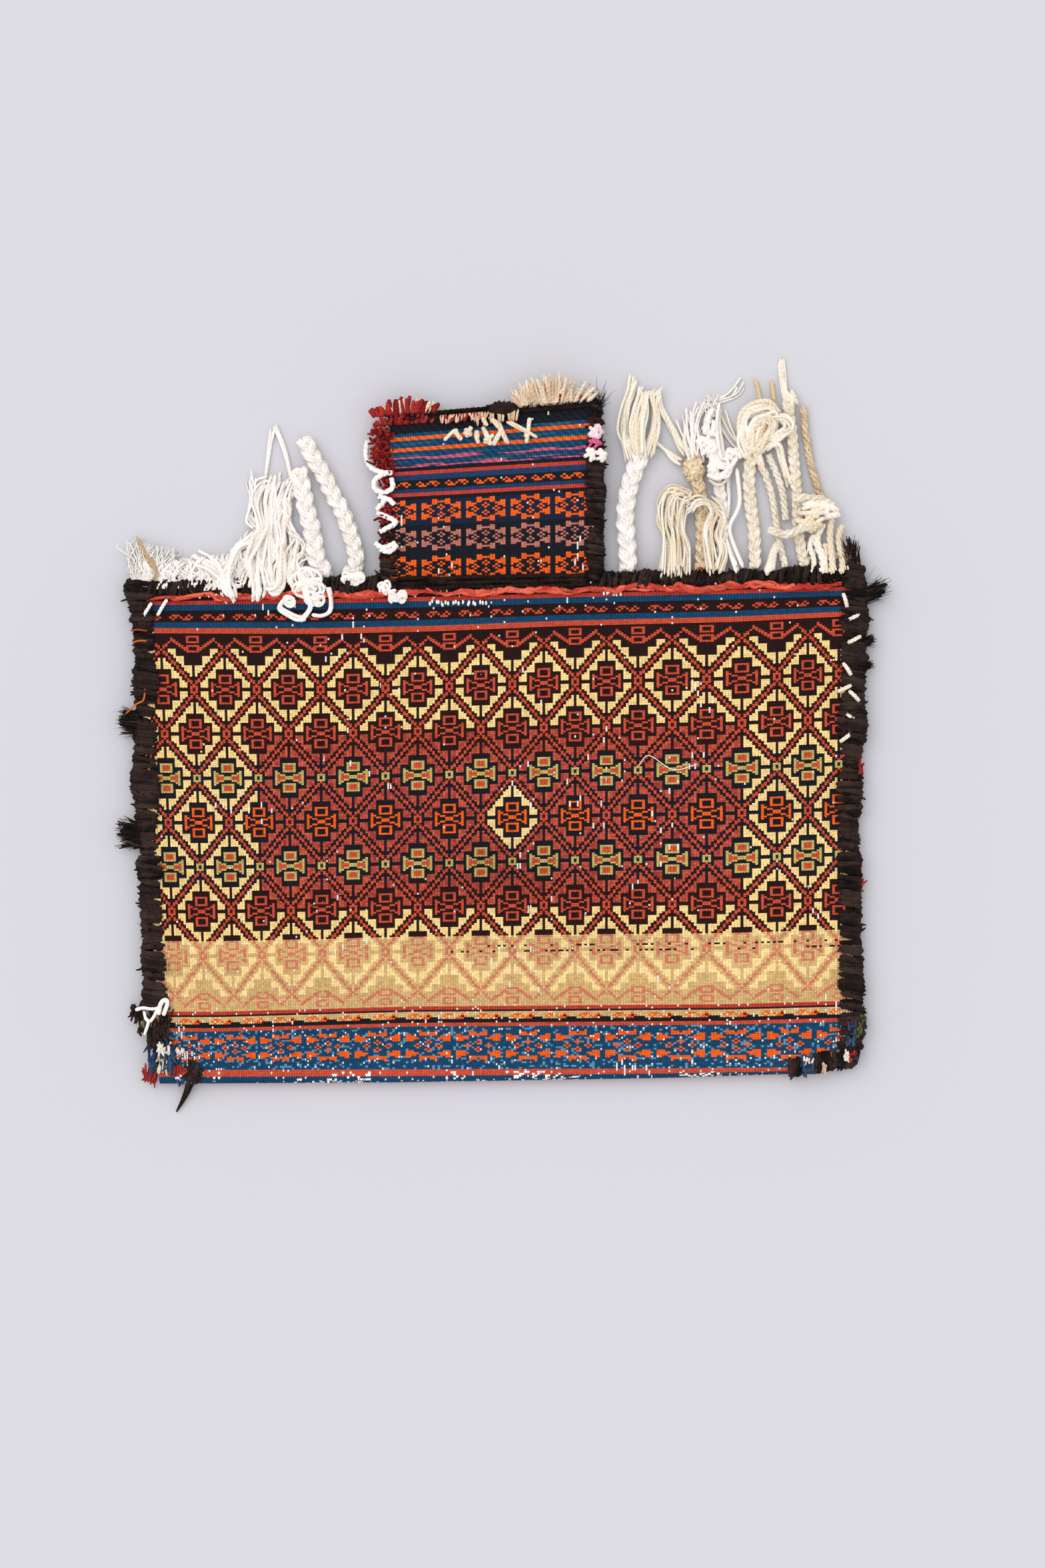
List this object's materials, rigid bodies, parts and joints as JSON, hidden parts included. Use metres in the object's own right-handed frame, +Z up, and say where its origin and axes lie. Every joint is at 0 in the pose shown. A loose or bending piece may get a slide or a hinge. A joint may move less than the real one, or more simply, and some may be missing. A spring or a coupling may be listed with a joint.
{
  "type": "salt bag",
  "caption": "Flat-woven wool salt bag: a wide pocket folded from one strip, with a narrow open neck, wound hair bindings and braided cotton fringe on its shoulders.",
  "frame": {"origin": "middle of the footprint of the cloth, bindings and trim, without the braids, on the surface that the bag lies on", "axes": "+Z up, away from the surface; +Y from the bottom fold to the mouth; +X to the right of someone who looks down on the patterned front"},
  "size_m": [0.4906, 0.4749, 0.0195],
  "materials": {
    "woven_wool": "weft-faced flat weave, matte, worn",
    "goat_hair": "coarse dark hair yarn, wound and shaggy",
    "white_cotton": "plied white warp cotton, matte, slightly soiled",
    "tan_cotton": "plied tan warp yarn, matte",
    "red_wool": "loose red wool yarn",
    "pink_wool": "pale pink wool yarn"
  },
  "bodies": {
    "root": {"woven_cloth": "woven_wool", "left_side_binding": "goat_hair", "right_side_binding": "goat_hair", "left_shoulder_binding": "goat_hair", "right_shoulder_binding": "goat_hair", "neck_left_binding": "goat_hair", "neck_left_lacing": "white_cotton", "neck_right_binding": "goat_hair", "mouth_front_binding": "goat_hair", "mouth_back_binding": "goat_hair", "neck_base_row": "goat_hair", "red_twined_row": "red_wool", "red_mouth_tuft": "red_wool", "brown_mouth_fringe": "tan_cotton", "black_mouth_tuft": "goat_hair", "cream_mouth_fan": "white_cotton", "mouth_corner_tuft": "goat_hair", "cream_mouth_lacing": "white_cotton", "pink_knot": "pink_wool", "white_neck_knot": "white_cotton", "left_end_tuft": "white_cotton", "left_low_fringe": "white_cotton", "left_loose_bundle": "white_cotton", "left_hanging_knot": "white_cotton", "right_loose_bundle": "white_cotton", "right_short_fringe": "white_cotton", "right_corner_wool": "tan_cotton", "left_braid_1": "white_cotton", "left_braid_2": "white_cotton", "right_braid_1": "white_cotton", "right_braid_2": "tan_cotton", "right_braid_3": "white_cotton", "right_braid_4": "white_cotton", "right_braid_5": "white_cotton", "right_braid_6": "white_cotton", "right_braid_7": "white_cotton", "right_braid_8": "tan_cotton", "right_braid_1_end": "white_cotton", "right_braid_2_knot": "tan_cotton", "right_braid_2_end": "white_cotton", "right_braid_4_knot": "white_cotton", "right_braid_7_end": "white_cotton", "right_tied_rope": "white_cotton", "right_tied_loop": "white_cotton", "left_side_tuft_upper": "goat_hair", "left_side_tuft_lower": "goat_hair", "right_corner_tuft": "goat_hair", "right_side_tuft_upper": "goat_hair", "right_side_tuft_lower": "goat_hair", "bottom_hair_tuft": "goat_hair", "repair_stitch_1": "white_cotton", "repair_stitch_2": "white_cotton", "repair_stitch_3": "white_cotton", "repair_stitch_4": "white_cotton", "repair_stitch_5": "white_cotton", "repair_stitch_6": "white_cotton", "repair_stitch_7": "white_cotton", "repair_stitch_8": "white_cotton", "corner_lashing": "white_cotton"}
  },
  "joints": []
}
